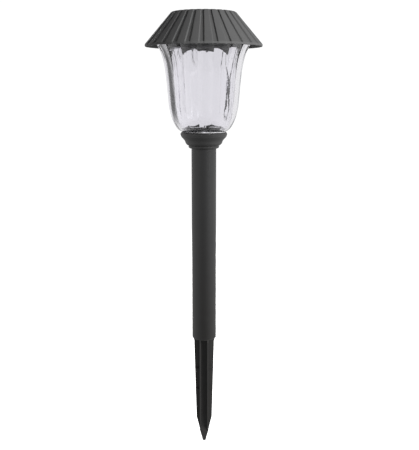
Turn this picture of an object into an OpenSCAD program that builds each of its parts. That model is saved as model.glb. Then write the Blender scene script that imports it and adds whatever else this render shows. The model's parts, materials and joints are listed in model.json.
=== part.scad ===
// Solar garden light: pleated hat with the solar panel, clear fluted lens, flared collar, pole and stake.
// Z is up. The origin is on the pole's axis at the soil line, where the pole's lower end meets the stake.

/* [Pole] */
// Outside diameter of the pole
tube_od = 25; // [22:0.5:30]
// Wall of the pole
tube_wall = 1; // [0.6:0.1:1.5]
// Length of the pole
tube_len = 198; // [120:1:400]
// Play on the radius between the pole and the spigots in it
spigot_gap = 0.08; // [0.05:0.01:0.1]

/* [Ground stake] */
// Length of the stake below the pole
stake_len = 117.5; // [80:0.5:200]
// Width of the stake under its shoulder
stake_top_w = 21.2; // [18:0.2:22]
// Width of the stake where its point begins
stake_low_w = 16.3; // [12:0.1:18]
// Depth of the long ribs under the shoulder
stake_top_d = 17; // [12:0.2:20]
// Depth of the long ribs where the point begins
stake_low_d = 14; // [10:0.2:17]
// Length of the point
point_len = 27.5; // [20:0.5:50]
// Length of the point that is solid
solid_len = 19; // [10:0.5:20]
// Width of the blunt tip
tip_w = 2.8; // [1.4:0.1:4]
// Distance from the axis to each long rib
rib_x = 4; // [3:0.1:6]
// Thickness of the ribs and the cross webs
rib_t = 1.6; // [1.2:0.1:2.4]
// Thickness of the flat blade between the ribs
blade_t = 2; // [1.6:0.1:3]
// How far the stake's spigot reaches into the pole
stake_spigot = 32; // [20:1:50]

/* [Collar] */
// Radius of the collar at its upper bead
collar_r = 23.5; // [22:0.1:27]
// Height of the collar above the pole
collar_h = 16.4; // [15:0.1:20]
// How far the collar's spigot reaches into the pole
collar_spigot = 20; // [12:1:40]

/* [Lens] */
// Height of the lens
lens_h = 85.9; // [72:0.1:110]
// Radius of the lens at its mouth
mouth_r = 46.4; // [44.5:0.1:58]
// Radius of the lens at its waist
waist_r = 35.2; // [33:0.1:38]
// Height of the waist above the lens's foot
waist_h = 30.2; // [26:0.1:34]
// Wall of the lens
lens_wall = 1.8; // [1.4:0.1:2.2]
// Number of flutes
flutes = 16; // [8:1:24]
// Depth of the creases between the flutes, at the mouth
crease = 1.3; // [0.4:0.1:1.6]
// Turn that unlocks the lens from the collar, in degrees
lock_turn = 40; // [30:1:42]

/* [Hat] */
// How far the hat's rim reaches past the lens's mouth
hat_overhang = 11.4; // [9:0.1:20]
// Radius at which the cone would meet the flat top
hat_top_r = 31.5; // [31:0.1:36]
// Height of the hat from its rim to its top
hat_h = 33; // [31:0.1:45]
// Height of the plain hem at the rim
hem_h = 2.2; // [1:0.1:4]
// Thickness of the hat's skirt
hat_wall = 2.6; // [2:0.1:3]
// Thickness of the hat's flat top
hat_top_t = 3.4; // [3:0.1:5]
// Number of pleats
pleats = 28; // [20:1:36]
// Depth of the grooves between the pleats
groove_d = 1.3; // [0.6:0.1:1.6]
// How far the rim hangs below the housing's flange
rim_drop = 4; // [2:0.1:6]

/* [Solar panel] */
// Side of the square solar cell
cell_w = 34; // [24:0.5:35]
// Thickness of the clear window over the cell
window_t = 1.5; // [1:0.1:2]

/* [Housing] */
// Thickness of the housing's walls
base_t = 2; // [1.6:0.1:2.4]
// Depth from the flange down to the housing's floor
base_drop = 5.5; // [5:0.1:7]
// Thickness of the seal on the lens
seal_t = 1.2; // [0.8:0.1:2]
// Radius of the circle that the housing screws are on
screw_r = 33; // [32:0.1:34]
// Diameter of the battery
battery_d = 14.2; // [10.3:0.1:17.2]
// Length of the battery with its button
battery_len = 50; // [44:0.1:50.5]

/* [Fits] */
// Running clearance on the radius of the door's hinge pins
hinge_gap = 0.05; // [0.02:0.01:0.1]
// Clearance between pieces that move past each other
move_gap = 0.3; // [0.3:0.05:0.5]
// Clearance between pieces that lie in a pocket or a hole
seat_gap = 0.2; // [0.1:0.05:0.3]

/* [Hidden] */
$fn = 96;
eps = 0.01;

// Heights of the stack, from the pole up
lens_z = tube_len + collar_h;
flange_z = lens_z + lens_h + seal_t;
floor_z = flange_z - base_drop;
floor_top = floor_z + base_t;
hat_z = flange_z - rim_drop;
hat_top = hat_z + hat_h;
ledge_z = hat_top - hat_top_t;

// Pole and spigots
tube_or = tube_od / 2;
tube_ir = tube_or - tube_wall;
spigot_r = tube_ir - spigot_gap;
spigot_wall = 1.8;

// Lens outline: a lower and an upper curve through the waist, as heights above the lens's foot
foot_r = collar_r - 1.5;
neck_curve = [[foot_r, 0.6], [foot_r + 5.1, 1.4], [waist_r - 1.5, waist_h - 18], [waist_r, waist_h]];
bowl_curve = [[waist_r, waist_h], [waist_r + 2.5, waist_h + 30],
    [mouth_r - 8, lens_h - 13.8], [mouth_r, lens_h]];
flute_phase = 3.05 - 90;
lens_floor_t = 2;

// Lens lock: wings above the lens's floor, tabs of the floor under them
wing_r = collar_r - 5.5;
wing_h = 3;
wing_gap_a = 24;
tab_a = 20;
lock_bore = wing_r - 6.1;
lock_phase = 6 - 90;
tab_r = wing_r - 3.7;
lock_boss_r = tab_r - move_gap;
boss_top = lens_floor_t + move_gap;
lens_hole_r = wing_r + move_gap + 0.1;
cup_r = collar_r - 2.9;
lock_disc_z = -3.9;
lock_disc_t = 1.8;

// Hat: slope of the cone and its inner face
hat_r = mouth_r + hat_overhang;
hat_slope = (hat_h - hem_h) / (hat_r - hat_top_r);
hat_inset = hat_wall * sqrt(1 + hat_slope * hat_slope) / hat_slope;
function hat_out_r(z) = hat_r - (z - hat_z - hem_h) / hat_slope;
function hat_in_r(z) = hat_out_r(z) - hat_inset;
shoulder_r = 3;
groove_a = 5.8;
groove_phase = -1.6 - 90;

// Cross webs of the stake: heights, width past a rib, depth, and how far their pitched tops rise
web_heights = [-34, -57];
web_w = 7;
web_d = 7;
web_rise = 2.5;

// Solar panel stack, from the top down
view_w = cell_w + 2;
window_w = view_w + 4;
rebate_w = window_w + 2 * seat_gap;
cell_t = 0.4;
busbar_t = 0.1;
board_w = view_w + 1.4;
board_t = 1.6;
potting_t = 1.2;
well_w = board_w + 2 * seat_gap;
window_seal_t = 0.4;
window_recess = 0.2;
well_depth = board_t + potting_t + 0.3;

// Housing: the spigot's lower edge is the tightest place in the lens's flared mouth
mouth_low_r = curve_r(bowl_curve, floor_z - lens_z);
base_r = mouth_low_r - crease - 1.15 * lens_wall - move_gap;
base_in_r = base_r - base_t + 0.2;
flange_r = hat_in_r(flange_z + base_t) - move_gap;
key_w = 2.4;
key_angles = [30, 150, 270];
key_len = 2.9;
screw_angles = [90, 210, 330];
boss_r = 3.5;
screw_shank_r = 1.3;
screw_head_r = 2.8;
screw_head_t = 1.8;
screw_len = 10;

// Battery bay
battery_r = battery_d / 2;
bay_wall = 1.4;
bay_y = 17.2;
spring_len = 2.7;
contact_t = 0.4;
bay_l = battery_len + spring_len + 2 * contact_t;
bay_w = battery_d + 1;
bay_low = bay_y - bay_w / 2;
bay_high = bay_y + bay_w / 2;
battery_z = floor_top + 0.3 + battery_r;
bay_top = battery_z + 0.8;
contact_top = bay_top + 3;
button_len = 1.5;
battery_x = -bay_l / 2 + contact_t + spring_len;

// Battery door and its hinge
door_axis_y = bay_low - 1.2;
door_axis_z = floor_z + 1.2;
door_barrel_r = 1.2;
door_pin_r = 0.8;
door_pin_len = 2.5;
door_half = bay_l / 2 - seat_gap;
door_edge = bay_high - seat_gap;
ear_l = 3;
ear_w = 4.4;

// Circuit board and what is on it
board_x = 36;
board_y = 22;
board_cy = -10;
board_gap = 3;
pcb_t = 1.6;
pcb_z = floor_top + board_gap;
pcb_top = pcb_z + pcb_t;
post_at = [[-14.5, -18], [14.5, -18]];
post_r = 2.4;
board_screw_r = 0.9;
led_at = [-4, -2];
led_r = 2.5;
led_len = 7.6;
switch_at = [10, -10];
switch_l = 8.6;
switch_w = 4.4;
knob_l = 2.4;
knob_w = 1.8;
switch_travel = 2;
wire_r = 0.6;

charcoal = [0.16, 0.16, 0.165];
soot = [0.1, 0.1, 0.105];

// A point on a cubic curve at t from 0 to 1
function curve(p, t) =
    pow(1 - t, 3) * p[0] + 3 * t * pow(1 - t, 2) * p[1] + 3 * t * t * (1 - t) * p[2] + pow(t, 3) * p[3];

// The radius of a rising cubic outline at height z, found by halving
function curve_r(p, z, lo = 0, hi = 1, n = 18) =
    let(mid = (lo + hi) / 2, at = curve(p, mid))
    n == 0 ? at[0] : at[1] < z ? curve_r(p, z, mid, hi, n - 1) : curve_r(p, z, lo, mid, n - 1);

function unit(v) = v / norm(v);

// The part of v that is square to the unit vector t
function square_to(v, t) = unit(v - (v * t) * t);

// Points of an arc, with angles in degrees
function arc(x, y, r, a, b, n) =
    [for (i = [0:n]) let(t = a + (b - a) * i / n) [x + r * cos(t), y + r * sin(t)]];

// The rounded corner of radius r at b between the lines to a and c
function round_corner(a, b, c, r, n) =
    let(
        u = unit(a - b),
        v = unit(c - b),
        half = acos(u * v) / 2,
        o = b + unit(u + v) * r / sin(half),
        p = b + u * r / tan(half) - o,
        q = b + v * r / tan(half) - o
    )
    [for (i = [0:n]) o + r * unit(p * (1 - i / n) + q * i / n)];

module box(size, at) {
    translate([at[0] - size[0] / 2, at[1] - size[1] / 2, at[2]]) cube(size);
}

// A ring sector with a square section, centred on an angle
module ring_sector(r_in, r_out, z, h, centre, span) {
    rotate([0, 0, centre - span / 2]) rotate_extrude(angle = span)
        translate([r_in, z]) square([r_out - r_in, h]);
}

// A round wire along a cubic curve whose two ends are cut square to it
module swept_wire(p, r, sides = 8, steps = 14) {
    at = [for (i = [0:steps]) curve(p, i / steps)];
    way = [for (i = [0:steps]) unit(i == 0 ? p[1] - p[0] : i == steps ? p[3] - p[2] : at[i + 1] - at[i - 1])];
    across = [for (i = 0, u = square_to([1, 0, 0], way[0]); i <= steps;
        i = i + 1, u = i <= steps ? square_to(u, way[i]) : u) u];
    rings = [for (i = [0:steps]) let(v = cross(way[i], across[i]))
        for (k = [0:sides - 1]) let(a = 360 * k / sides) at[i] + r * (cos(a) * across[i] + sin(a) * v)];
    walls = [for (i = [0:steps - 1]) for (k = [0:sides - 1]) let(
            a = i * sides + k,
            b = i * sides + (k + 1) % sides
        ) [a, a + sides, b + sides, b]];
    first = [for (k = [0:sides - 1]) k];
    last = [for (k = [sides - 1:-1:0]) steps * sides + k];
    polyhedron(rings, concat(walls, [first, last]));
}

// ---- Hat and solar panel ----

module hat_outline() {
    rim = [hat_r, hat_z];
    hem = [hat_r, hat_z + hem_h];
    corner = [hat_top_r, hat_top];
    polygon(concat(
        [[0, ledge_z], [hat_in_r(ledge_z), ledge_z], [hat_in_r(hat_z), hat_z], rim, hem],
        round_corner(hem, corner, [0, hat_top], shoulder_r, 8),
        [[0, hat_top]]
    ));
}

module pleat_groove() {
    low = hat_z + hem_h;
    high = hat_top + 2;
    depth_r = groove_d * sqrt(1 + hat_slope * hat_slope) / hat_slope;
    rotate_extrude(angle = groove_a) polygon([
        [hat_out_r(low) - depth_r, low],
        [hat_out_r(low) + 2, low],
        [hat_out_r(high) + 2, high],
        [hat_out_r(high) - depth_r, high]
    ]);
}

// The space under the hat's shell, grown a little into the shell
module hat_core(extra) {
    rotate_extrude() polygon([
        [0, floor_top], [hat_in_r(floor_top) + extra, floor_top],
        [hat_in_r(ledge_z) + extra, ledge_z + extra], [0, ledge_z + extra]
    ]);
}

module screw_bosses() {
    intersection() {
        hat_core(0.8);
        for (a = screw_angles) rotate([0, 0, a]) translate([screw_r, 0, floor_top])
            cylinder(h = hat_top - floor_top, r = boss_r);
    }
}

module roof_cover() {
    color(charcoal) difference() {
        union() {
            difference() {
                rotate_extrude($fn = 128) hat_outline();
                for (k = [0:pleats - 1])
                    rotate([0, 0, groove_phase - groove_a / 2 + k * 360 / pleats]) pleat_groove();
            }
            difference() {
                box([well_w + 3, well_w + 3, well_depth + eps], [0, 0, ledge_z - well_depth]);
                box([well_w, well_w, well_depth + 2 * eps], [0, 0, ledge_z - well_depth - eps]);
            }
            screw_bosses();
        }
        box([view_w, view_w, hat_top_t + 2], [0, 0, ledge_z - 1]);
        box([rebate_w, rebate_w, 5], [0, 0, hat_top - window_recess - window_t - window_seal_t]);
        for (a = screw_angles) rotate([0, 0, a]) translate([screw_r, 0, floor_top - 1])
            cylinder(h = screw_len + 2, r = screw_shank_r + hinge_gap);
    }
}

module solar_window() {
    color([0.75, 0.8, 0.85, 0.35])
        box([window_w, window_w, window_t], [0, 0, hat_top - window_recess - window_t]);
}

module window_seal() {
    z = hat_top - window_recess - window_t - window_seal_t;
    color("black") difference() {
        box([window_w, window_w, window_seal_t], [0, 0, z]);
        box([view_w, view_w, window_seal_t + 1], [0, 0, z - 0.5]);
    }
}

module solar_cell() {
    color([0.04, 0.05, 0.12]) box([cell_w, cell_w, cell_t], [0, 0, ledge_z]);
}

module cell_busbars() {
    color("silver") for (x = [-1, 0, 1])
        box([1.2, cell_w - 2, busbar_t], [x * cell_w / 3, 0, ledge_z + cell_t]);
}

module panel_board() {
    color([0.1, 0.3, 0.15]) box([board_w, board_w, board_t], [0, 0, ledge_z - board_t]);
}

module potting_pad() {
    color([0.2, 0.2, 0.2]) box([board_w, board_w, potting_t], [0, 0, ledge_z - board_t - potting_t]);
}

// ---- Housing ----

module hinge_ear(side) {
    box([ear_l, ear_w, door_barrel_r + 3.4], [side * (bay_l / 2 + ear_l / 2), door_axis_y, floor_z - 0.6]);
}

module hinge_bore(side) {
    translate([side * (bay_l / 2 - 1), door_axis_y, door_axis_z]) rotate([0, side * 90, 0])
        cylinder(h = 1 + door_pin_len + 0.2, r = door_pin_r + hinge_gap, $fn = 48);
}

module bay_walls() {
    long = bay_l + 2 * bay_wall;
    high = bay_top - floor_top;
    box([long, bay_wall, high], [0, bay_high + bay_wall / 2, floor_top - eps]);
    box([long, bay_wall, high - 1], [0, bay_low - bay_wall / 2, floor_top + 1]);
    for (side = [-1, 1])
        box([bay_wall, bay_w + 2 * bay_wall, high], [side * (bay_l + bay_wall) / 2, bay_y, floor_top - eps]);
}

module light_base() {
    low = door_axis_y - door_barrel_r - move_gap;
    color(soot) difference() {
        union() {
            translate([0, 0, floor_z]) cylinder(h = base_t, r = base_r);
            difference() {
                translate([0, 0, floor_z]) cylinder(h = base_drop + base_t, r = base_r);
                translate([0, 0, floor_z - 1]) cylinder(h = base_drop + base_t + 2, r = base_in_r);
            }
            difference() {
                translate([0, 0, flange_z]) cylinder(h = base_t, r = flange_r);
                translate([0, 0, flange_z - 1]) cylinder(h = base_t + 2, r = base_in_r);
            }
            bay_walls();
            for (side = [-1, 1]) hinge_ear(side);
            for (p = post_at) translate([p[0], p[1], floor_z + eps])
                cylinder(h = base_t + board_gap - eps, r = post_r);
        }
        box([bay_l, bay_high - low, base_t + 2], [0, (bay_high + low) / 2, floor_z - 1]);
        for (side = [-1, 1]) hinge_bore(side);
        for (a = key_angles) rotate([0, 0, a])
            translate([base_r - 3.2, -key_w / 2 - move_gap, floor_z - 1])
                cube([6, key_w + 2 * move_gap, key_len + 2.4]);
        for (a = screw_angles) rotate([0, 0, a]) translate([screw_r, 0, floor_z - 1])
            cylinder(h = base_t + 2, r = screw_shank_r + seat_gap);
        for (p = post_at) translate([p[0], p[1], floor_top])
            cylinder(h = board_gap + 1, r = board_screw_r + hinge_gap);
        translate([led_at[0], led_at[1], floor_z - 1]) cylinder(h = base_t + 2, r = led_r + 0.15);
        box([knob_l + switch_travel + 1, knob_w + 0.8, base_t + 2],
            [switch_at[0], switch_at[1], floor_z - 1]);
    }
}

module lens_seal() {
    color([0.12, 0.12, 0.12]) difference() {
        translate([0, 0, lens_z + lens_h]) cylinder(h = seal_t, r = mouth_r);
        translate([0, 0, lens_z + lens_h - 1]) cylinder(h = seal_t + 2, r = base_r + seat_gap);
    }
}

module housing_screws() {
    color("silver") for (a = screw_angles) rotate([0, 0, a]) translate([screw_r, 0, 0]) difference() {
        union() {
            translate([0, 0, floor_z]) cylinder(h = screw_len, r = screw_shank_r);
            rotate_extrude() polygon(concat(
                [[0, floor_z], [screw_head_r, floor_z]],
                arc(screw_head_r - 0.9, floor_z - screw_head_t + 0.9, 0.9, 0, -90, 5),
                [[0, floor_z - screw_head_t]]
            ));
        }
        for (turn = [0, 90]) rotate([0, 0, turn])
            box([3.4, 0.7, 1], [0, 0, floor_z - screw_head_t - 0.1]);
    }
}

// ---- Circuit, lamp, switch and battery ----

module circuit_board() {
    color([0.1, 0.35, 0.2]) difference() {
        box([board_x, board_y, pcb_t], [0, board_cy, pcb_z]);
        for (p = post_at) translate([p[0], p[1], pcb_z - 1])
            cylinder(h = pcb_t + 2, r = board_screw_r + seat_gap);
        for (x = [-1, 1]) box([0.9, 0.9, pcb_t + 2], [led_at[0] + x * 1.27, led_at[1], pcb_z - 1]);
    }
}

module board_screws() {
    color("silver") for (p = post_at) translate([p[0], p[1], 0]) difference() {
        union() {
            translate([0, 0, pcb_top - 4.2]) cylinder(h = 4.3, r = board_screw_r);
            translate([0, 0, pcb_top]) cylinder(h = 1.3, r = 1.9);
        }
        for (turn = [0, 90]) rotate([0, 0, turn]) box([2.4, 0.5, 1], [0, 0, pcb_top + 0.6]);
    }
}

module controller_chip() {
    color([0.08, 0.08, 0.08]) {
        box([4.9, 3.9, 1.5], [6, -6, pcb_top + 0.1]);
        for (side = [-1, 1]) for (k = [-1.5:1:1.5])
            box([0.4, 1.2, 0.5], [6 + k * 1.27, -6 + side * 2.4, pcb_top]);
    }
}

module coil_inductor() {
    color([0.45, 0.25, 0.12]) translate([-11, -8, pcb_top]) rotate_extrude($fn = 48)
        polygon([[0, 0], [3, 0], [3, 1], [2.4, 1], [2.4, 6.5], [3, 6.5], [3, 7.5], [0, 7.5]]);
}

module charge_capacitor() {
    color([0.15, 0.2, 0.4]) translate([1, -16, pcb_top]) rotate_extrude($fn = 48)
        polygon([[0, 0], [2.5, 0], [2.5, 1], [2.3, 1.3], [2.5, 1.6], [2.5, 8.6], [2.1, 9], [0, 9]]);
}

module led_lamp() {
    tip = floor_top - led_len;
    color([0.9, 0.92, 0.85, 0.6]) translate([led_at[0], led_at[1], 0]) rotate_extrude($fn = 48)
        polygon(concat(
            [[0, floor_top + 1], [led_r + 0.4, floor_top + 1], [led_r + 0.4, floor_top], [led_r, floor_top]],
            arc(0, tip + led_r, led_r, 0, -90, 10)
        ));
}

module led_leads() {
    color("silver") for (x = [-1, 1])
        box([0.5, 0.5, pcb_top + 0.6 - floor_top - 1], [led_at[0] + x * 1.27, led_at[1], floor_top + 1]);
}

module along_bay(x) {
    translate([x, bay_y, battery_z]) rotate([0, 90, 0]) children();
}

module battery_cell() {
    len = battery_len - button_len;
    edge = 0.6;
    color([0.2, 0.45, 0.3]) along_bay(battery_x) rotate_extrude() polygon([
        [0, 0], [battery_r - edge, 0], [battery_r, edge],
        [battery_r, len - edge], [battery_r - edge, len], [0, len]
    ]);
}

module battery_button() {
    color("silver") along_bay(battery_x + battery_len - button_len) cylinder(h = button_len, r = 2.7);
}

module contact_plate(x) {
    box([contact_t, 9, contact_top - floor_top - 1], [x, bay_y, floor_top + 1]);
}

module battery_contact() {
    color("silver") contact_plate((bay_l - contact_t) / 2);
}

// A conical coil of round wire between the plate and the battery's flat end
module battery_spring() {
    coil_wire = 0.35;
    turns = 3;
    steps = 20;
    sides = 6;
    start = -bay_l / 2 + contact_t + 0.7 * coil_wire;
    rise = spring_len - 1.7 * coil_wire;
    rings = [for (i = [0:turns * steps]) let(
            f = i / (turns * steps),
            a = 360 * i / steps,
            r = 5 - 2.2 * f
        ) for (k = [0:sides - 1]) let(b = 360 * k / sides) [
            start + rise * f + coil_wire * sin(b),
            bay_y + (r + coil_wire * cos(b)) * cos(a),
            battery_z + (r + coil_wire * cos(b)) * sin(a)
        ]];
    last = turns * steps * sides;
    walls = [for (i = [0:turns * steps - 1]) for (k = [0:sides - 1]) let(
            a = i * sides + k,
            b = i * sides + (k + 1) % sides
        ) [a, b, b + sides, a + sides]];
    color("silver") {
        polyhedron(rings, concat(
            walls,
            [[for (k = [sides - 1:-1:0]) k], [for (k = [0:sides - 1]) last + k]]
        ));
        contact_plate(-(bay_l - contact_t) / 2);
    }
}

module battery_door() {
    color(soot) difference() {
        union() {
            box([2 * door_half, door_edge - door_axis_y, base_t],
                [0, (door_edge + door_axis_y) / 2, floor_z]);
            translate([-door_half, door_axis_y, door_axis_z]) rotate([0, 90, 0])
                cylinder(h = 2 * door_half, r = door_barrel_r, $fn = 48);
            translate([-door_half - door_pin_len, door_axis_y, door_axis_z]) rotate([0, 90, 0])
                cylinder(h = 2 * (door_half + door_pin_len), r = door_pin_r, $fn = 48);
        }
        for (k = [-2:2]) box([12, 0.8, 1], [0, bay_y + k * 2, floor_z - 0.6]);
    }
}

module switch_body() {
    color([0.75, 0.75, 0.72]) difference() {
        box([switch_l, switch_w, board_gap - 0.2], [switch_at[0], switch_at[1], floor_top + 0.2]);
        box([knob_l + switch_travel + 1, 1.8, 1.6], [switch_at[0], switch_at[1], floor_top + 0.1]);
    }
}

module switch_knob() {
    x = switch_at[0] - switch_travel / 2;
    color([0.85, 0.85, 0.85]) {
        difference() {
            box([knob_l, knob_w, base_t + 1.4], [x, switch_at[1], floor_z - 1.4]);
            for (k = [-1:1]) box([0.3, 3, 0.6], [x + k * 0.7, switch_at[1], floor_z - 1.7]);
        }
        box([knob_l - 0.4, 1.2, 1.2], [x, switch_at[1], floor_top - eps]);
    }
}

// ---- Wires, held between the hat and the housing ----

panel_low = ledge_z - board_t - potting_t;

module panel_wire(x) {
    swept_wire([[x, -7, panel_low], [x, -7, panel_low - 10],
        [x * 0.6, -14, pcb_top + 9], [x * 0.6, -14, pcb_top]], wire_r);
}

module battery_wire(side) {
    x = side * (bay_l - contact_t) / 2;
    swept_wire([[x, bay_y - 3, contact_top], [x, bay_y - 3, contact_top + 8],
        [side * 16, -3, contact_top + 8], [side * 16, -3, pcb_top]], wire_r);
}

module panel_wire_red() {
    color("red") panel_wire(10);
}

module panel_wire_black() {
    color("black") panel_wire(-10);
}

module battery_wire_red() {
    color("red") battery_wire(1);
}

module battery_wire_black() {
    color("black") battery_wire(-1);
}

// ---- Lens ----

// The lens's outer outline from foot to mouth, as radius and height
lens_out = concat(
    [for (i = [0:6]) curve(neck_curve, i / 6)],
    [for (i = [1:8]) curve(bowl_curve, i / 8)]
);
lens_n = len(lens_out);

// The same outline one wall further in
lens_in = [for (i = [0:lens_n - 1]) let(
        d = lens_out[min(i + 1, lens_n - 1)] - lens_out[max(i - 1, 0)],
        n = [d[1], -d[0]] / norm(d),
        p = lens_out[i] - lens_wall * n
    ) i == lens_n - 1 ? [p[0], lens_h] : p];

// The creases grow from nothing at the foot to their full depth at the mouth
function crease_at(z) = crease * min(1, z / 20) * (0.75 + 0.25 * z / lens_h);

function lens_ring(p, around) = [for (k = [0:around - 1]) let(
        a = 360 * k / around,
        d = crease_at(p[1]),
        r = p[0] - d + d * abs(cos(flutes * a / 2))
    ) [r * cos(a + flute_phase), r * sin(a + flute_phase), p[1]]];

module fluted_shell() {
    around = flutes * 4;
    outline = concat([[foot_r - 0.4, 0]], lens_out, [for (i = [lens_n - 1:-1:0]) lens_in[i]],
        [[lens_hole_r + 1, lens_floor_t], [lens_hole_r + 1, 0]]);
    count = len(outline);
    points = [for (p = outline) each lens_ring(p, around)];
    faces = [for (i = [0:count - 1]) for (k = [0:around - 1]) let(
            a = i * around + k,
            b = i * around + (k + 1) % around,
            c = ((i + 1) % count) * around
        ) each [[a, c + k, b], [b, c + k, c + (k + 1) % around]]];
    polyhedron(points, faces);
}

module lens() {
    color([0.85, 0.87, 0.9, 0.35]) translate([0, 0, lens_z]) union() {
        fluted_shell();
        difference() {
            cylinder(h = lens_floor_t, r = lens_hole_r + 2);
            translate([0, 0, -1]) cylinder(h = lens_floor_t + 2, r = lens_hole_r);
        }
        for (k = [0:3])
            ring_sector(tab_r, lens_hole_r + 1, 0, lens_floor_t, lock_phase - lock_turn + 90 * k, tab_a);
        for (a = key_angles) rotate([0, 0, a]) translate([base_r - 2.6, -key_w / 2, floor_z + 0.4 - lens_z])
            cube([mouth_low_r - base_r + 1.6, key_w, key_len]);
    }
}

// ---- Collar, pole and stake ----

// One wing, rooted in the boss and open under its outer part
module lock_wing(centre) {
    root = 0.5;
    low = boss_top - root;
    high = boss_top + wing_h;
    span = 90 - wing_gap_a;
    rotate([0, 0, centre - span / 2]) rotate_extrude(angle = span) polygon([
        [lock_bore + root, low], [lock_boss_r - root, low],
        [lock_boss_r - root, boss_top], [wing_r, boss_top],
        [wing_r, high - 0.7], [wing_r - 0.7, high], [lock_bore + root, high]
    ]);
}

module lens_lock() {
    stop_a = 4;
    color(soot) translate([0, 0, lens_z]) union() {
        difference() {
            union() {
                translate([0, 0, lock_disc_z]) cylinder(h = lock_disc_t, r = cup_r - seat_gap / 2);
                translate([0, 0, lock_disc_z]) cylinder(h = boss_top - lock_disc_z, r = lock_boss_r);
            }
            translate([0, 0, lock_disc_z - 1]) cylinder(h = 20, r = lock_bore);
        }
        for (k = [0:3]) {
            lock_wing(lock_phase + 45 + 90 * k);
            ring_sector(lock_boss_r - 0.6, wing_r - 0.3, move_gap, lens_floor_t + 0.5,
                lock_phase - lock_turn - tab_a / 2 - stop_a + 90 * k, stop_a);
        }
    }
}

module pole_collar() {
    bead = 2.1;
    bead_at = [collar_r - bead, collar_h - bead];
    step_r = tube_or + 6.3;
    inner_r = step_r - 2;
    flare = [[step_r, 6.8], [step_r + 0.7, 8.8], [collar_r - 2.4, 9.6], [collar_r - 0.6, collar_h - 4.4]];
    outline = concat(
        [[spigot_r - spigot_wall, -collar_spigot], [spigot_r - 0.8, -collar_spigot],
            [spigot_r, -collar_spigot + 2], [spigot_r, 0], [tube_or + 0.4, 0]],
        arc(tube_or + 1, 2, 2, -78, 25, 6),
        [[tube_or + 4.3, 3.5], [tube_or + 5.8, 5.1]],
        [for (i = [0:6]) curve(flare, i / 6)],
        arc(bead_at[0], bead_at[1], bead, -35, 90, 8),
        [[cup_r, collar_h], [cup_r, collar_h + lock_disc_z], [inner_r, collar_h + lock_disc_z],
            [inner_r, 6.4], [spigot_r - spigot_wall, 2]]
    );
    color(soot) translate([0, 0, tube_len]) rotate_extrude() polygon(outline);
}

module pole_tube() {
    color([0.2, 0.195, 0.19]) difference() {
        cylinder(h = tube_len, r = tube_or);
        translate([0, 0, -1]) cylinder(h = tube_len + 2, r = tube_ir);
    }
}

// The outline of the stake seen square on: straight flanks, then the point
module stake_outline(top_w, low_w) {
    polygon([
        [-top_w / 2, 0], [-low_w / 2, -stake_len + point_len], [-tip_w / 2, -stake_len],
        [tip_w / 2, -stake_len], [low_w / 2, -stake_len + point_len], [top_w / 2, 0]
    ]);
}

module upright(depth) {
    rotate([90, 0, 0]) linear_extrude(height = depth, center = true) children();
}

// The flat blade, the long ribs across it and the cross webs, past the stake's outline on every side
module stake_webs() {
    wide = 2 * stake_top_w;
    box([wide, blade_t, stake_len], [0, 0, -stake_len]);
    for (side = [-1, 1]) {
        box([rib_t, wide, stake_len], [side * rib_x, 0, -stake_len]);
        for (z = web_heights) translate([side * (rib_x + web_w / 2), 0, z + side]) rotate([0, 90, 0])
            linear_extrude(height = web_w, center = true)
                polygon([[-web_rise, 0], [0, -web_d / 2], [rib_t, -web_d / 2],
                    [rib_t, web_d / 2], [0, web_d / 2]]);
    }
}

// The solid end of the point, whose top falls away from the blade on both sides
module solid_point() {
    fall = 2;
    half = solid_len / fall;
    rotate([0, 0, 90]) upright(stake_top_w) polygon([
        [-half, -stake_len], [half, -stake_len], [0, solid_len - stake_len]
    ]);
}

module ground_stake() {
    shoulder_h = 4;
    plate_h = 1;
    color(soot) union() {
        intersection() {
            upright(2 * stake_top_w) stake_outline(stake_top_w, stake_low_w);
            rotate([0, 0, 90]) upright(2 * stake_top_w) stake_outline(stake_top_d, stake_low_d);
            union() {
                stake_webs();
                solid_point();
            }
        }
        intersection() {
            translate([0, 0, -shoulder_h])
                cylinder(h = shoulder_h, r1 = stake_top_w / 2 - 0.1, r2 = tube_or - 0.3);
            stake_webs();
        }
        translate([0, 0, -plate_h]) cylinder(h = plate_h, r1 = tube_or - 0.8, r2 = tube_or - 0.3);
        difference() {
            rotate_extrude() polygon([[0, -plate_h], [spigot_r, -plate_h],
                [spigot_r, stake_spigot - 2], [spigot_r - 0.8, stake_spigot], [0, stake_spigot]]);
            cylinder(h = stake_spigot + 1, r = spigot_r - spigot_wall);
        }
    }
}

roof_cover();
solar_window();
window_seal();
solar_cell();
cell_busbars();
panel_board();
potting_pad();
light_base();
lens_seal();
circuit_board();
controller_chip();
coil_inductor();
charge_capacitor();
led_lamp();
led_leads();
battery_cell();
battery_button();
battery_spring();
battery_contact();
battery_door();
switch_body();
switch_knob();
housing_screws();
board_screws();
panel_wire_red();
panel_wire_black();
battery_wire_red();
battery_wire_black();
lens();
lens_lock();
pole_collar();
pole_tube();
ground_stake();
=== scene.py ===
"""Looks of a solar garden light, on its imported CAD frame. Lengths in the outlines below are millimetres."""
import json
import math

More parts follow.
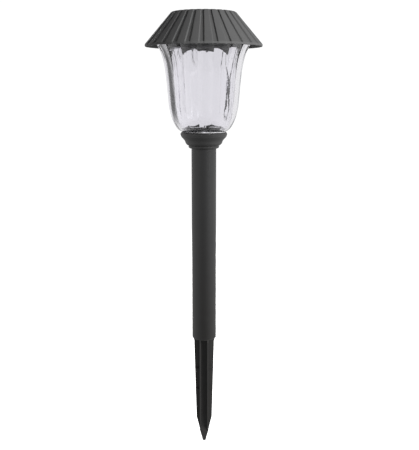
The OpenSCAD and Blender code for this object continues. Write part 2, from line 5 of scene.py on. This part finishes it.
import bmesh
import bpy
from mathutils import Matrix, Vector

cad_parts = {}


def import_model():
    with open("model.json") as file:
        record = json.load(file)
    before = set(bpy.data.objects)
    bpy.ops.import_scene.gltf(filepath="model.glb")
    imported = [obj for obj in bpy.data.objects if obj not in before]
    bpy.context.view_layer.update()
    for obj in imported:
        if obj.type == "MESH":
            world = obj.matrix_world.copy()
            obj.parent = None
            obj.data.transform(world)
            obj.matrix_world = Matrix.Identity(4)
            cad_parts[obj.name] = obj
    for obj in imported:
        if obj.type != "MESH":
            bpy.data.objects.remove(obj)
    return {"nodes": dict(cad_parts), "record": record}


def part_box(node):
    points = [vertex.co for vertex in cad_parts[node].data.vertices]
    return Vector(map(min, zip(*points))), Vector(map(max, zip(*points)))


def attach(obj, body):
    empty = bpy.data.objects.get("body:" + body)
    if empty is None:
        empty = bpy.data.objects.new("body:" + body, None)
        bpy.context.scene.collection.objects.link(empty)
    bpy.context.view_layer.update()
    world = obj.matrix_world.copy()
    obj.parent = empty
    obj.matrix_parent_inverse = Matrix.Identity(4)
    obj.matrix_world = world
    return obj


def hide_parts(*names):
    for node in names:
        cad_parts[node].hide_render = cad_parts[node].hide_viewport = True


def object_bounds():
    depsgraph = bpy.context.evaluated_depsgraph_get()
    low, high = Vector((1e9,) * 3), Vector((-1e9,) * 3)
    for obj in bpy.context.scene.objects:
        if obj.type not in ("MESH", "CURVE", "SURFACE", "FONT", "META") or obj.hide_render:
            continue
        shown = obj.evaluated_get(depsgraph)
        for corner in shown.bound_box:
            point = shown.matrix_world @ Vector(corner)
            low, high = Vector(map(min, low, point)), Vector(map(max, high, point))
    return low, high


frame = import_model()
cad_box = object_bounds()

MM = 0.001
NODES = frame["nodes"]


def low_mm(node):
    return [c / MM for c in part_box(node)[0]]


def high_mm(node):
    return [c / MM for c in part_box(node)[1]]


# ---------------------------------------------------------------- shader maths

class Value:
    """A number or colour in a node tree. Arithmetic on it adds Math nodes."""

    def __init__(self, shading, socket):
        self.shading = shading
        self.socket = socket

    def maths(self, operation, *others):
        return self.shading.node("Math", {"operation": operation}, [self, *others])

    def __add__(self, other):
        return self.maths("ADD", other)

    def __mul__(self, other):
        return self.maths("MULTIPLY", other)

    def __sub__(self, other):
        return self.maths("SUBTRACT", other)

    def __truediv__(self, other):
        return self.maths("DIVIDE", other)

    def __rsub__(self, other):
        return self.shading.node("Math", {"operation": "SUBTRACT"}, [other, self])

    __radd__ = __add__
    __rmul__ = __mul__

    def size(self):
        return self.maths("ABSOLUTE")

    def clamp(self):
        return self.maths("MAXIMUM", 0.0).maths("MINIMUM", 1.0)

    def above(self, edge, soft):
        """0 below edge, 1 above it, with a ramp soft wide."""
        return ((self - edge) / soft + 0.5).clamp()

    def towards(self, other, share):
        """This number where share is 0, the other where it is 1."""
        return self + (other - self) * share


class Shading:
    """A node tree being built, of a material or of the world."""

    def __init__(self, tree):
        self.tree = tree

    def node(self, kind, settings=None, inputs=(), out=0):
        """A node of that kind, with its settings, and its sockets by name or in order."""
        made = self.tree.nodes.new("ShaderNode" + kind)
        for key, value in (settings or {}).items():
            setattr(made, key, value)
        pairs = inputs.items() if isinstance(inputs, dict) else enumerate(inputs)
        for key, value in pairs:
            self.feed(made.inputs[key], value)
        return Value(self, made.outputs[out]) if made.outputs else None

    def feed(self, socket, value):
        if isinstance(value, Value):
            self.tree.links.new(value.socket, socket)
        elif isinstance(value, (tuple, list)) and len(value) == 3 and socket.type == "RGBA":
            socket.default_value = (*value, 1.0)
        else:
            socket.default_value = value

    def ray(self, kind):
        """1 for rays of that kind, 0 for the others."""
        return self.node("LightPath", out=f"Is {kind} Ray")


class Finish(Shading):
    """A material being built round one Principled shader."""

    def __init__(self, name):
        # Kept apart from the material's own name, which gains a number where the frame has the same one.
        self.name = name
        self.material = bpy.data.materials.new(name)
        self.material.use_nodes = True
        super().__init__(self.material.node_tree)
        self.shader = self.tree.nodes["Principled BSDF"]

    def set(self, **values):
        """Sets or links the shader's sockets; an underscore stands for a space."""
        for key, value in values.items():
            self.feed(self.shader.inputs[key.replace("_", " ")], value)

    def place(self):
        """The point on the piece, in metres, in the frame it was made in."""
        return self.node("TexCoord", out="Object")

    def axis(self, name):
        return self.node("SeparateXYZ", inputs=[self.place()], out=name)

    def noise(self, size, detail=2.0, stretch=(1.0, 1.0, 1.0)):
        """Noise about 0.5 whose blotches are that many millimetres across."""
        where = self.node("Mapping", {"vector_type": "POINT"}, {"Vector": self.place(), "Scale": stretch})
        return self.node("TexNoise", inputs={"Vector": where, "Scale": 1.0 / (size * MM), "Detail": detail})

    def cells(self, size, out="Color"):
        return self.node("TexVoronoi", inputs={"Vector": self.place(), "Scale": 1.0 / (size * MM)}, out=out)

    def blend(self, colour_a, colour_b, share):
        """A colour between two colours."""
        return self.node("Mix", {"data_type": "RGBA"}, {0: share, 6: colour_a, 7: colour_b}, out=2)

    def bump(self, height, depth, strength=1.0):
        """Surface relief: height from 0 to 1 stands for that many millimetres."""
        return self.node("Bump", inputs={"Height": height, "Distance": depth * MM, "Strength": strength})


def moulded_plastic(name, colour, dust, roughness, dust_share=0.16, grain=0.5, gloss=0.5):
    """Matte moulded plastic: fine spark texture, cloudy sheen and a trace of dry dust."""
    f = Finish(name)
    cloud = f.noise(14, 4)
    spark = f.noise(grain, 3)
    scuff = f.noise(2.5, 5, (1.0, 1.0, 0.25)).above(0.66, 0.12)
    tint = f.blend(colour, dust, (cloud * dust_share + scuff * 0.1).clamp())
    f.set(
        Base_Color=tint,
        Roughness=cloud * 0.12 + (roughness - 0.06) + scuff * 0.08,
        Normal=f.bump(spark + scuff * 0.4, 0.035),
        Specular_IOR_Level=gloss,
    )
    return f


def pole_paint():
    """Satin paint on steel tube: orange peel, and a darker, brownish tint in blotches that grows towards the
    bottom.
    """
    f = Finish("pole_paint")
    height = f.axis("Z")
    # Darker and browner towards the bottom of the tube, in blotches, and a little rougher there.
    bottom_share = (1.0 - height / (150 * MM)).clamp() * (f.noise(9, 5) * 0.6 + 0.4)
    speck = f.noise(0.9, 2).above(0.72, 0.06)
    tint = f.blend((0.0145, 0.0145, 0.0148), (0.006, 0.0055, 0.005), bottom_share)
    tint = f.blend(tint, (0.05, 0.048, 0.045), speck * 0.35)
    peel = f.noise(1.6, 3)
    f.set(
        Base_Color=tint,
        Roughness=f.noise(18, 4, (1.0, 1.0, 0.2)) * 0.14 + 0.36 + bottom_share * 0.1,
        Normal=f.bump(peel, 0.02),
    )
    return f


def clear_plastic(name, tint, roughness, ripple):
    """Clear moulded plastic with faint flow ripples."""
    f = Finish(name)
    flow = f.noise(7, 3, (1.0, 1.0, 0.35))
    f.set(
        Base_Color=tint,
        Transmission_Weight=1.0,
        IOR=1.49,
        Roughness=f.noise(20, 3) * 0.02 + roughness,
        Normal=f.bump(flow, ripple),
    )
    return f


def frosted_highlight_plastic():
    """Clear plastic with a ground, milky surface; its pale tone on the lens's foot also stands in for glare
    along the collar's rim, a painted highlight.
    """
    f = Finish("frosted_highlight_plastic")
    grain = f.noise(0.8, 3)
    f.set(
        Base_Color=f.blend((0.86, 0.86, 0.88), (0.95, 0.95, 0.97), grain),
        Transmission_Weight=0.35,
        IOR=1.49,
        Roughness=grain * 0.2 + 0.4,
        Normal=f.bump(grain, 0.02),
    )
    return f


def rubber():
    """Black seal rubber with a grey bloom."""
    f = Finish("rubber")
    bloom = f.noise(5, 4)
    f.set(
        Base_Color=f.blend((0.012, 0.012, 0.012), (0.05, 0.05, 0.048), bloom * 0.3),
        Roughness=bloom * 0.15 + 0.6,
        Normal=f.bump(f.noise(0.4, 2), 0.03),
    )
    return f


def stripes(f, axis, pitch, share):
    """1 on bands that take up a share of each pitch along an axis, 0 between them."""
    wave = (f.axis(axis) / (pitch * MM)).maths("FRACT")
    return 1.0 - (wave - 0.5).size().above(share / 2, 0.04)


def cell_silicon():
    """Polycrystalline silicon: angular blue grains under fine silver fingers."""
    f = Finish("cell_silicon")
    grain = f.node("SeparateColor", inputs=[f.cells(2.6)], out=0)
    blue = f.blend((0.006, 0.009, 0.032), (0.014, 0.03, 0.11), grain)
    finger = stripes(f, "Y", 1.5, 0.09)
    f.set(
        Base_Color=f.blend(blue, (0.5, 0.5, 0.52), finger * 0.8),
        Metallic=finger * 0.7,
        Roughness=grain * 0.12 + 0.16,
        Normal=f.bump(finger, 0.02),
    )
    return f


def metal(name, colour, roughness, scratch=(1.0, 1.0, 1.0)):
    """Plated metal with fine scratches and a cloudy film."""
    f = Finish(name)
    film = f.noise(4, 4)
    line = f.noise(0.5, 4, scratch)
    f.set(
        Base_Color=f.blend(colour, tuple(c * 0.72 for c in colour), film * 0.7),
        Metallic=1.0,
        Roughness=film * 0.15 + roughness + line * 0.08,
        Normal=f.bump(line, 0.012),
    )
    return f


def circuit_green():
    """Solder mask over copper tracks."""
    f = Finish("board_green")
    track = stripes(f, "X", 2.4, 0.3) * f.noise(6, 0).above(0.5, 0.02)
    mask = f.blend((0.008, 0.07, 0.03), (0.02, 0.15, 0.06), track)
    f.set(Base_Color=mask, Roughness=f.noise(3, 3) * 0.15 + 0.25, Normal=f.bump(track, 0.04))
    return f


def resin():
    """Poured black resin with a few bubbles."""
    f = Finish("resin")
    bubble = 1.0 - f.cells(1.8, "Distance").above(0.22, 0.1)
    f.set(
        Base_Color=f.blend((0.012, 0.012, 0.012), (0.04, 0.04, 0.04), f.noise(6, 4)),
        Roughness=f.noise(3, 3) * 0.2 + 0.18,
        Normal=f.bump(bubble, 0.06),
    )
    return f


def wound_copper():
    """Enamelled wire wound in turns, between ferrite cheeks."""
    f = Finish("copper_winding")
    turn = stripes(f, "Z", 0.45, 0.6)
    f.set(
        Base_Color=f.blend((0.1, 0.03, 0.012), (0.42, 0.16, 0.06), turn),
        Metallic=turn * 0.5,
        Roughness=f.noise(1.2, 3) * 0.15 + 0.28,
        Normal=f.bump(turn, 0.12),
    )
    return f


def printed_sleeve(name, colour, band, band_from):
    """Shrink sleeve with a plain band past a place along X, in millimetres."""
    f = Finish(name)
    side = f.axis("X").above(band_from * MM, 0.1 * MM)
    cloud = f.noise(6, 4)
    f.set(
        Base_Color=f.blend(f.blend(colour, band, side), (0.3, 0.3, 0.3), cloud * 0.06),
        Roughness=cloud * 0.14 + 0.24,
        Normal=f.bump(f.noise(3, 3), 0.05),
    )
    return f


def soft_pvc(name, colour):
    """Soft plastic of a wire's sleeve, a little cloudy."""
    f = Finish(name)
    cloud = f.noise(2, 3)
    f.set(
        Base_Color=f.blend(colour, tuple(c * 0.6 for c in colour), cloud),
        Roughness=cloud * 0.2 + 0.3,
        Normal=f.bump(f.noise(0.6, 2), 0.03),
    )
    return f


def phosphor():
    """The yellow grain over a white LED's chip."""
    f = Finish("led_phosphor")
    f.set(
        Base_Color=f.blend((0.75, 0.6, 0.08), (0.9, 0.8, 0.25), f.noise(0.5, 3)),
        Roughness=f.noise(0.4, 2) * 0.2 + 0.4,
    )
    return f


FINISHES = {finish.name: finish.material for finish in (
    moulded_plastic("hat_plastic", (0.064, 0.064, 0.0645), (0.12, 0.12, 0.118), 0.58, 0.2, gloss=0.22),
    moulded_plastic("black_plastic", (0.0155, 0.0155, 0.0158), (0.05, 0.049, 0.047), 0.38),
    moulded_plastic("glossy_plastic", (0.012, 0.012, 0.0123), (0.03, 0.03, 0.03), 0.14, 0.1, gloss=0.6),
    moulded_plastic("housing_plastic", (0.008, 0.008, 0.0083), (0.03, 0.03, 0.03), 0.75, 0.1, gloss=0.12),
    moulded_plastic("stake_plastic", (0.019, 0.019, 0.0192), (0.055, 0.048, 0.041), 0.42, 0.2, grain=0.7),
    pole_paint(),
    clear_plastic("clear_plastic", (0.968, 0.96, 0.995), 0.012, ripple=0.12),
    frosted_highlight_plastic(),
    clear_plastic("window_plastic", (0.95, 0.96, 0.97), 0.05, ripple=0.03),
    rubber(),
    cell_silicon(),
    metal("silver_strip", (0.72, 0.72, 0.74), 0.28, scratch=(1.0, 0.1, 1.0)),
    circuit_green(),
    resin(),
    metal("steel", (0.6, 0.6, 0.61), 0.25),
    wound_copper(),
    moulded_plastic("chip_black", (0.015, 0.015, 0.015), (0.05, 0.05, 0.05), 0.5, 0.1, grain=0.3),
    printed_sleeve("capacitor_sleeve", (0.01, 0.02, 0.09), (0.5, 0.5, 0.52), band_from=2.9),
    # The LED's epoxy is tinted grey: painted shade standing in for the dark housing seen refracted in its
    # dome.
    clear_plastic("led_epoxy", (0.5, 0.5, 0.48), 0.03, ripple=0.01),
    printed_sleeve("battery_wrap", (0.02, 0.18, 0.07), (0.5, 0.5, 0.48), band_from=12),
    moulded_plastic("white_plastic", (0.55, 0.55, 0.53), (0.4, 0.39, 0.36), 0.45, 0.1),
    soft_pvc("wire_red", (0.42, 0.012, 0.01)),
    soft_pvc("wire_black", (0.03, 0.03, 0.03)),
    phosphor(),
)}


# ---------------------------------------------------------------- mesh helpers

def mesh_piece(name, points, faces, finish, body, stands_for=(), crease=35):
    """A piece from points in millimetres, smooth except where it turns by more than crease degrees."""
    mesh = bpy.data.meshes.new(name)
    mesh.from_pydata([tuple(c * MM for c in p) for p in points], [], faces)
    work = bmesh.new()
    work.from_mesh(mesh)
    bmesh.ops.remove_doubles(work, verts=work.verts, dist=1e-7)
    bmesh.ops.recalc_face_normals(work, faces=work.faces)
    work.to_mesh(mesh)
    work.free()
    mesh.shade_smooth()
    mesh.set_sharp_from_angle(angle=math.radians(crease))
    piece = bpy.data.objects.new(name, mesh)
    bpy.context.scene.collection.objects.link(piece)
    mesh.materials.append(FINISHES[finish])
    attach(piece, body)
    if stands_for:
        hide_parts(*stands_for)
    return piece


def loop_faces(start, rings, around):
    """Quads between rings of points that each go once round, with the last ring joined to the first."""
    faces = []
    for i in range(rings):
        a = start + i * around
        b = start + ((i + 1) % rings) * around
        for k in range(around):
            n = (k + 1) % around
            faces.append((a + k, a + n, b + n, b + k))
    return faces


def cubic(p, t):
    """A point on a cubic curve."""
    s = 1 - t
    weights = (s ** 3, 3 * s * s * t, 3 * s * t * t, t ** 3)
    return [sum(w * q[i] for w, q in zip(weights, p)) for i in range(len(p[0]))]


def arc(x, y, r, start, end, steps):
    angles = [math.radians(start + (end - start) * i / steps) for i in range(steps + 1)]
    return [(x + r * math.cos(a), y + r * math.sin(a)) for a in angles]


def ease(x):
    x = min(max(x, 0.0), 1.0)
    return x * x * (3 - 2 * x)


# ---------------------------------------------------------------- hat

HAT_LOW = low_mm("roof_cover")[2]
HAT_TOP = high_mm("roof_cover")[2]
HAT_R = high_mm("roof_cover")[0]
HAT_WALL = 2.6
HEM_H = 2.2
HEM_ROUND = 0.5
HEM_DIP = 0.35
HAT_TOP_R = 31.5
SHOULDER_R = 3.0
PLEATS = 28
GROOVE_D = 1.3
GROOVE_PHASE = -91.6
GROOVE_HALF_A = 1.75
GROOVE_SIDE_A = 1.15
LEDGE_Z = low_mm("solar_cell")[2]
WINDOW_HALF = high_mm("solar_window")[0]
REBATE_HALF = WINDOW_HALF + 0.2
REBATE_Z = low_mm("window_seal")[2]
BOARD_HALF = high_mm("panel_board")[0]
VIEW_HALF = high_mm("solar_cell")[0] + 1
WELL_IN = BOARD_HALF + 0.2
WELL_OUT = WELL_IN + 1.5
WELL_Z = low_mm("potting_pad")[2] - 0.3
BOSS_AT = 33.0
BOSS_R = 3.5
PILOT_R = 1.35
PILOT_DEPTH = 11.0


def circle_ring(r, z, around):
    turns = [2 * math.pi * k / around for k in range(around)]
    return [(r * math.cos(a), r * math.sin(a), z) for a in turns]


def square_ring(half, z, around):
    ring = []
    for k in range(around):
        a = 2 * math.pi * k / around
        r = half / max(abs(math.cos(a)), abs(math.sin(a)))
        ring.append((r * math.cos(a), r * math.sin(a), z))
    return ring


def between(ring_a, ring_b, share):
    """A ring part of the way from one ring to another."""
    return [tuple(Vector(a).lerp(Vector(b), share)) for a, b in zip(ring_a, ring_b)]


def pleat_depth(angle):
    """0 on a pleat's flat land, 1 on the floor of a groove, with sloped sides; angle in degrees."""
    pitch = 360 / PLEATS
    off = abs((angle - GROOVE_PHASE + pitch / 2) % pitch - pitch / 2)
    return 1 - ease((off - GROOVE_HALF_A) / GROOVE_SIDE_A)


def pleated_hat():
    """The hat's shell: outside with its grooves, the window's rebate, the panel's well and the inside."""
    around = PLEATS * 32
    slope = (HAT_TOP - HAT_LOW - HEM_H) / (HAT_R - HAT_TOP_R)
    turn = math.degrees(math.atan(slope))
    hem_top = HAT_LOW + HEM_H
    normal = (math.sin(math.radians(turn)), math.cos(math.radians(turn)))
    corner_back = SHOULDER_R * math.tan(math.radians(turn / 2))
    shoulder_x = HAT_TOP_R - corner_back
    outer = arc(HAT_R - HEM_ROUND, HAT_LOW + HEM_ROUND, HEM_ROUND, -90, 0, 3)
    outer += [(HAT_R, hem_top - 0.45), (HAT_R - 0.06, hem_top - 0.1)]
    run = [0.0, 0.012, 0.03] + [i / 22 for i in range(2, 23)]
    foot = (HAT_R - 0.1, hem_top + 0.1)
    arc_start = (shoulder_x + SHOULDER_R * normal[0], HAT_TOP - SHOULDER_R + SHOULDER_R * normal[1])
    outer += [(foot[0] + (arc_start[0] - foot[0]) * t, foot[1] + (arc_start[1] - foot[1]) * t) for t in run]
    outer += arc(shoulder_x, HAT_TOP - SHOULDER_R, SHOULDER_R, 90 - turn, 90, 8)[1:]

    rings = []
    for r, z in outer:
        inward = (HAT_R - r) * normal[0] + (hem_top - z) * normal[1]
        reach = max(0.0, GROOVE_D - max(inward, 0.0)) if z > hem_top else 0.0
        dip = HEM_DIP if z <= hem_top else 0.0
        ring = []
        for k in range(around):
            a = 2 * math.pi * k / around
            depth = pleat_depth(math.degrees(a))
            rr = r - (normal[0] * reach + dip) * depth
            ring.append((rr * math.cos(a), rr * math.sin(a), z - normal[1] * reach * depth))
        rings.append(ring)
    top_rim = circle_ring(shoulder_x - 1.2, HAT_TOP, around)
    lip = square_ring(REBATE_HALF + 0.3, HAT_TOP, around)
    rings += [top_rim] + [between(top_rim, lip, t) for t in (0.5, 1.0)]
    rings.append(square_ring(REBATE_HALF, HAT_TOP - 0.2, around))
    for half, z in (
        (REBATE_HALF, REBATE_Z), (VIEW_HALF, REBATE_Z), (VIEW_HALF, LEDGE_Z), (WELL_IN, LEDGE_Z),
        (WELL_IN, WELL_Z), (WELL_OUT, WELL_Z), (WELL_OUT, LEDGE_Z),
    ):
        rings.append(square_ring(half, z, around))
    wall = HAT_WALL / normal[0]
    inner_top_r = HAT_TOP_R + (HAT_TOP - LEDGE_Z) / slope - wall
    inner_low_r = HAT_R + HEM_H / slope - wall
    for t in (0, 0.25, 0.5, 0.75, 1):
        r = inner_top_r + (inner_low_r - inner_top_r) * t
        rings.append(circle_ring(r, LEDGE_Z + (HAT_LOW - LEDGE_Z) * t, around))
    points = [p for ring in rings for p in ring]
    faces = loop_faces(0, len(rings), around)
    add_screw_bosses(points, faces, inner_top_r, slope)
    mesh_piece("pleated_hat", points, faces, "hat_plastic", "head", ["roof_cover"], 30)


def add_screw_bosses(points, faces, inner_top_r, slope):
    """Three tubes from the housing's floor up into the shell, with a pilot hole in each."""
    steps = 40
    base_z = low_mm("light_base")[2] + 2
    pilot = [(PILOT_R, PILOT_DEPTH), (PILOT_R, 0)]
    outline = pilot + [(BOSS_R - 0.4, 0), (BOSS_R, 0.4), (BOSS_R, None), (PILOT_R, None)]
    for angle in (90, 210, 330):
        cx, cy = BOSS_AT * math.cos(math.radians(angle)), BOSS_AT * math.sin(math.radians(angle))
        start = len(points)
        for r, depth in outline:
            for k in range(steps):
                a = 2 * math.pi * k / steps
                x, y = cx + r * math.cos(a), cy + r * math.sin(a)
                shell = LEDGE_Z - max(0.0, math.hypot(x, y) - inner_top_r) * slope
                points.append((x, y, shell + 0.8 if depth is None else base_z + depth))
        faces += loop_faces(start, len(outline), steps)


pleated_hat()


# ---------------------------------------------------------------- lens

LENS_LOW = low_mm("lens")[2]
LENS_H = high_mm("lens")[2] - LENS_LOW
FLUTES = 16
FLUTE_PHASE = -86.95
MOUTH_R = 46.4
WAIST_R = 35.2
FOOT_R = 22.0
LENS_WALL = 2.4
INNER_SHIFT = 1.0
CREASE = 2.4
BOWL_CREASE = 0.55
WAIST_H = 30.2
NECK = [(FOOT_R, 0.6), (FOOT_R + 5.1, 1.4), (WAIST_R - 1.5, WAIST_H - 18), (WAIST_R, WAIST_H)]
BOWL = [(WAIST_R, WAIST_H), (WAIST_R + 2.5, WAIST_H + 30), (MOUTH_R - 8, LENS_H - 13.8), (MOUTH_R, LENS_H)]
FLOOR_T = 2.0
FOOT_EDGE = 0.6
HOLE_R = 18.4
TAB_R = 14.3
TAB_PHASE = -124.0
TAB_HALF = 10.0


def crease_at(z):
    """Depth of the creases at a height: none at the lens's foot, part in the bowl, all at the mouth."""
    return CREASE * min(1.0, z / 20) * (BOWL_CREASE + (1 - BOWL_CREASE) * ease((z - 50) / 25))


def lens_hole_r(angle):
    """The lens's floor hole is wide, with four tabs that reach in under the lock's wings."""
    off = abs((angle - TAB_PHASE + 45) % 90 - 45)
    return TAB_R if off <= TAB_HALF else HOLE_R


def fluted_lens():
    """The tulip: fluted outside, round inside, with a floor, its tabbed hole and a frosted foot edge whose
    pale tone is a painted highlight along the collar's rim.
    """
    per_flute = 24
    around = FLUTES * per_flute
    outer = [cubic(NECK, i / 30) for i in range(31)] + [cubic(BOWL, i / 44) for i in range(1, 45)]
    inner = []
    for i, (r, z) in enumerate(outer):
        a = outer[max(i - 1, 0)]
        b = outer[min(i + 1, len(outer) - 1)]
        length = math.hypot(b[0] - a[0], b[1] - a[1])
        inner.append((r - LENS_WALL * (b[1] - a[1]) / length, z + LENS_WALL * (b[0] - a[0]) / length))
    rim_r = inner[-1][0]
    inner = [p for p in inner[:-1] if p[1] < LENS_H - 0.5]

    angles = [2 * math.pi * k / around for k in range(around)]
    turns = [a + math.radians(FLUTE_PHASE) for a in angles]

    def ring_of(radii, z):
        return [(r * math.cos(turn), r * math.sin(turn), LENS_LOW + z) for r, turn in zip(radii, turns)]

    def ring(r, z, crease=0.0):
        return ring_of([r - crease * (1 - abs(math.cos(FLUTES * a / 2))) for a in angles], z)

    def hole(z):
        return ring_of([lens_hole_r(math.degrees(turn)) for turn in turns], z)

    rings = [hole(0), ring(HOLE_R + 0.6, 0), ring(FOOT_R - 0.4, 0)]
    rings += [ring(r, z, crease_at(z)) for r, z in outer[:-1]]
    rings.append(ring(MOUTH_R - 0.05, LENS_H - 0.35, crease_at(LENS_H)))
    rings.append(ring(MOUTH_R - 0.35, LENS_H, crease_at(LENS_H)))
    rings.append(ring(rim_r + 0.3 - INNER_SHIFT, LENS_H))
    rings += [ring(r - INNER_SHIFT, z) for r, z in reversed(inner)]
    rings += [ring(HOLE_R + 0.6, FLOOR_T), hole(FLOOR_T)]
    points = [p for one in rings for p in one]
    faces = loop_faces(0, len(rings), around)
    lens = mesh_piece("fluted_lens", points, faces, "clear_plastic", "lens", ["lens"], 18)
    # The foot's edge takes the frosted finish, whose pale tone is a painted highlight of glare along the
    # collar's rim.
    lens.data.materials.append(FINISHES["frosted_highlight_plastic"])
    for face in lens.data.polygons:
        low = face.center.z < (LENS_LOW + FOOT_EDGE) * MM
        if low and face.center.xy.length > HOLE_R * MM:
            face.material_index = 1


fluted_lens()


# ---------------------------------------------------------------- lamp

CUP_UP = 3.9


def lathe(name, outline, centre, finish, body, around=48):
    """A closed outline of (radius, height) turned about a vertical axis through centre."""
    points = []
    for r, z in outline:
        for k in range(around):
            a = 2 * math.pi * k / around
            points.append((centre[0] + r * math.cos(a), centre[1] + r * math.sin(a), z))
    faces = loop_faces(0, len(outline), around)
    mesh_piece(name, points, faces, finish, body)


def lamp_insides():
    """The reflector cup and the phosphor dot inside the clear lamp."""
    lo, hi = low_mm("led_lamp"), high_mm("led_lamp")
    centre = ((lo[0] + hi[0]) / 2, (lo[1] + hi[1]) / 2)
    cup_z = lo[2] + CUP_UP
    cup = [(0.05, 1.0), (1.2, 0.9), (1.25, 0.0), (1.05, -0.05), (0.5, 0.6), (0.05, 0.65)]
    lathe("led_cup", [(r, cup_z + z) for r, z in cup], centre, "silver_strip", "head")
    dot = [(0.02, 0.62), (0.5, 0.55), (0.85, 0.2), (0.5, 0.1), (0.02, 0.05)]
    lathe("led_dot", [(r, cup_z + z) for r, z in dot], centre, "led_phosphor", "head")


lamp_insides()


# ---------------------------------------------------------------- the CAD pieces' finishes

NODE_FINISH = {row["node"]: row["material_slot"] for row in frame["record"]["subparts"]}
NODE_FINISH |= {
    "ground_stake": "stake_plastic",
    "light_base": "housing_plastic",
    "battery_door": "housing_plastic",
    "lens_lock": "glossy_plastic",
}
EDGE_ROUNDING = {
    "ground_stake": 0.35,
    "light_base": 0.25,
    "battery_door": 0.25,
    "lens_lock": 0.25,
    "solar_window": 0.2,
    "switch_knob": 0.15,
    "controller_chip": 0.1,
    "circuit_board": 0.08,
}


def dress_cad_nodes():
    """Each carried-over piece gets its finish, and the moulded ones a small rounding of their edges."""
    for name, node in NODES.items():
        if node.hide_render:
            continue
        node.data.materials.clear()
        node.data.materials.append(FINISHES[NODE_FINISH[name]])
        if name in EDGE_ROUNDING:
            edge = node.modifiers.new("rounding", "BEVEL")
            edge.width = EDGE_ROUNDING[name] * MM
            edge.segments = 2
            edge.limit_method = "ANGLE"
            edge.angle_limit = math.radians(40)
            edge.harden_normals = True


dress_cad_nodes()


# ---------------------------------------------------------------- stage, light and camera

def stage():
    """A pale floor that is as white as the backdrop, and does not light the object."""
    floor_z = cad_box[0][2] - 0.5 * MM
    mesh = bpy.data.meshes.new("studio_floor")
    reach = 12.0
    corners = [(x * reach, y * reach, floor_z) for x, y in ((-1, -1), (1, -1), (1, 1), (-1, 1))]
    mesh.from_pydata(corners, [], [(0, 1, 2, 3)])
    floor = bpy.data.objects.new("studio_floor", mesh)
    bpy.context.scene.collection.objects.link(floor)
    f = Finish("studio_floor")
    f.set(
        Base_Color=f.blend((0.6, 0.6, 0.6), (0.64, 0.64, 0.64), f.noise(300, 2)),
        Roughness=1.0,
        Specular_IOR_Level=0.0,
        Emission_Color=(1.0, 1.0, 1.0),
        Emission_Strength=0.94,
    )
    mesh.materials.append(f.material)
    floor.visible_diffuse = False
    floor.visible_glossy = False
    floor.visible_transmission = False


def world():
    """A white backdrop. Soft light, reflections and what clear pieces show each have a dimmer room."""
    made = bpy.data.worlds.new("studio")
    made.use_nodes = True
    made.node_tree.nodes.clear()
    w = Shading(made.node_tree)
    direction = w.node("TexCoord", out="Generated")
    right = w.node("SeparateXYZ", inputs=[direction], out="X")
    back = w.node("SeparateXYZ", inputs=[direction], out="Y")
    up = w.node("SeparateXYZ", inputs=[direction], out="Z")
    # Matt surfaces: a dim room, lighter to the right and from below.
    matt = 0.16 + right.above(0.3, 1.4) * 0.12 + (0.0 - up).above(0.4, 0.6) * 0.4
    # Reflections: bright at both sides, and a little brighter straight behind.
    mirrored = 0.33 + right.size().above(0.62, 0.5) * 0.65 + back.above(0.8, 0.3) * 0.25
    # Clear pieces: pale behind, with a dark panel at the left, and a bright strip in front at the right.
    dark_left = (0.0 - right).above(0.58, 0.3) * back.above(0.4, 0.2)
    through = 0.8 - dark_left * 0.74 + right.above(0.5, 0.5) * 0.05
    strip = right.above(0.46, 0.14) * (1.0 - right.above(0.68, 0.14)) * up.above(0.15, 0.3)
    through = (strip * 2.6 + 0.5).towards(through, back.above(-0.25, 0.5))
    light = matt.towards(mirrored, w.ray("Glossy")).towards(through, w.ray("Transmission"))
    strength = light.towards(1.05, w.ray("Camera"))
    shade = w.node("Background", inputs={"Color": (1.0, 1.0, 1.0), "Strength": strength})
    w.node("OutputWorld", inputs={"Surface": shade})
    bpy.context.scene.world = made


def softbox(name, place, aim, width, height, watts):
    """A soft light that mirrors and clear pieces don't show."""
    data = bpy.data.lights.new(name, "AREA")
    data.shape = "RECTANGLE"
    data.size = width
    data.size_y = height
    data.energy = watts
    lamp = bpy.data.objects.new(name, data)
    lamp.location = place
    lamp.visible_glossy = False
    lamp.visible_transmission = False
    lamp.rotation_mode = "QUATERNION"
    lamp.rotation_quaternion = (Vector(aim) - Vector(place)).to_track_quat("-Z", "Y")
    bpy.context.scene.collection.objects.link(lamp)


CAMERA_AT = (5.7, -746, 258)
CAMERA_TILT = 10.53
CAMERA_LENS = 59.1


def camera():
    data = bpy.data.cameras.new("camera")
    data.sensor_width = 36
    data.lens = CAMERA_LENS
    data.clip_start = 0.01
    data.clip_end = 50
    cam = bpy.data.objects.new("camera", data)
    cam.location = [c * MM for c in CAMERA_AT]
    cam.rotation_euler = (math.radians(90 - CAMERA_TILT), 0, 0)
    bpy.context.scene.collection.objects.link(cam)
    bpy.context.scene.camera = cam


stage()
world()
softbox("key_right", (0.75, -0.69, 0.44), (0, 0, 0.26), 0.6, 0.8, 25)
softbox("key_back", (-0.4, 0.94, 0.45), (0, 0, 0.22), 0.6, 0.8, 22)
camera()
bpy.context.scene.view_settings.view_transform = "Standard"
